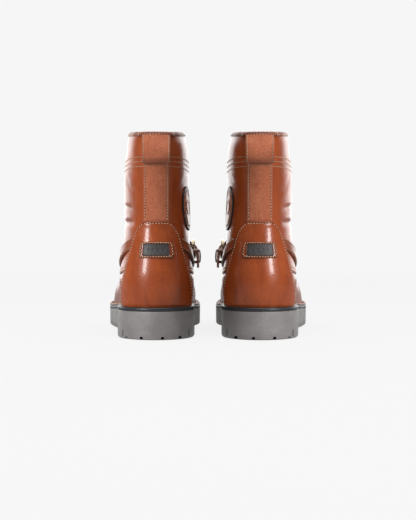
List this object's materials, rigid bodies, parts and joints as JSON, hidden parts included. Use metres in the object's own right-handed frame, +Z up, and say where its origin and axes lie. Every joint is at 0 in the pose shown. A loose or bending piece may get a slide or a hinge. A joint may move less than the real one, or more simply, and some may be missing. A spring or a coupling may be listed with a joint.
{
  "type": "riding boots",
  "caption": "Pair of ankle-high tan leather riding boots with suede backstay and pull loop, buckled instep strap, oval ankle patch and lugged rubber sole.",
  "frame": {"origin": "on the ground, at the middle of the pair's width and length", "axes": "+Y the way the toes point, +X from the left boot to the right boot, +Z up"},
  "size_m": [0.2496, 0.3066, 0.2321],
  "materials": {
    "tan_leather": "smooth waxed, semi-gloss",
    "strap_leather": "smooth waxed, raw dark edges",
    "suede": "napped suede, matt",
    "lining_leather": "unfinished, matt",
    "welt_leather": "burnished edge",
    "dark_binding": "folded edge, satin",
    "dark_edge": "painted edge, satin",
    "grey_rubber": "moulded, matt",
    "dark_midsole": "moulded, satin",
    "badge_rubber": "moulded, satin",
    "fibre_board": "pressed fibre",
    "cork": "pressed cork",
    "shank_steel": "cold rolled",
    "pale_brass": "polished, pale"
  },
  "bodies": {
    "pair": {"left_lining": "lining_leather", "left_vamp": "tan_leather", "left_heel_stiffener": "fibre_board", "left_outer_quarter": "tan_leather", "left_inner_quarter": "tan_leather", "left_heel_counter": "tan_leather", "left_backstay": "suede", "left_front_stay": "tan_leather", "left_toe_puff": "fibre_board", "left_collar_binding": "dark_binding", "left_back_pull_loop": "suede", "left_front_pull_loop": "tan_leather", "left_heel_block": "grey_rubber", "left_outsole": "grey_rubber", "left_midsole": "dark_midsole", "left_shank": "shank_steel", "left_forefoot_filler": "cork", "left_insole_board": "fibre_board", "left_footbed": "lining_leather", "left_welt": "welt_leather", "left_badge_border": "tan_leather", "left_badge_plate": "badge_rubber", "left_patch_edge": "dark_edge", "left_patch_disc": "tan_leather", "left_instep_strap": "strap_leather", "left_buckle_anchor": "strap_leather", "left_buckle_chape": "strap_leather", "left_strap_keeper": "strap_leather", "right_lining": "lining_leather", "right_vamp": "tan_leather", "right_heel_stiffener": "fibre_board", "right_outer_quarter": "tan_leather", "right_inner_quarter": "tan_leather", "right_heel_counter": "tan_leather", "right_backstay": "suede", "right_front_stay": "tan_leather", "right_toe_puff": "fibre_board", "right_collar_binding": "dark_binding", "right_back_pull_loop": "suede", "right_front_pull_loop": "tan_leather", "right_heel_block": "grey_rubber", "right_outsole": "grey_rubber", "right_midsole": "dark_midsole", "right_shank": "shank_steel", "right_forefoot_filler": "cork", "right_insole_board": "fibre_board", "right_footbed": "lining_leather", "right_welt": "welt_leather", "right_badge_border": "tan_leather", "right_badge_plate": "badge_rubber", "right_patch_edge": "dark_edge", "right_patch_disc": "tan_leather", "right_instep_strap": "strap_leather", "right_buckle_anchor": "strap_leather", "right_buckle_chape": "strap_leather", "right_strap_keeper": "strap_leather"},
    "left_frame": {"left_buckle_frame": "pale_brass"},
    "left_prong": {"left_buckle_prong": "pale_brass"},
    "right_frame": {"right_buckle_frame": "pale_brass"},
    "right_prong": {"right_buckle_prong": "pale_brass"}
  },
  "joints": [
    {"name": "left_frame_swing", "type": "hinge", "parent": "pair", "child": "left_frame", "pos_m": [-0.01823, -0.03924, 0.09227], "axis": [0.01, 0.4662, -0.8846], "range_deg": [0, 45]},
    {"name": "left_prong_swing", "type": "hinge", "parent": "left_frame", "child": "left_prong", "pos_m": [-0.01823, -0.03924, 0.09227], "axis": [0.01, 0.4662, -0.8846], "range_deg": [0, 30]},
    {"name": "right_frame_swing", "type": "hinge", "parent": "pair", "child": "right_frame", "pos_m": [0.01823, -0.03924, 0.09227], "axis": [0.01, -0.4662, 0.8846], "range_deg": [0, 45]},
    {"name": "right_prong_swing", "type": "hinge", "parent": "right_frame", "child": "right_prong", "pos_m": [0.01823, -0.03924, 0.09227], "axis": [0.01, -0.4662, 0.8846], "range_deg": [0, 30]}
  ]
}
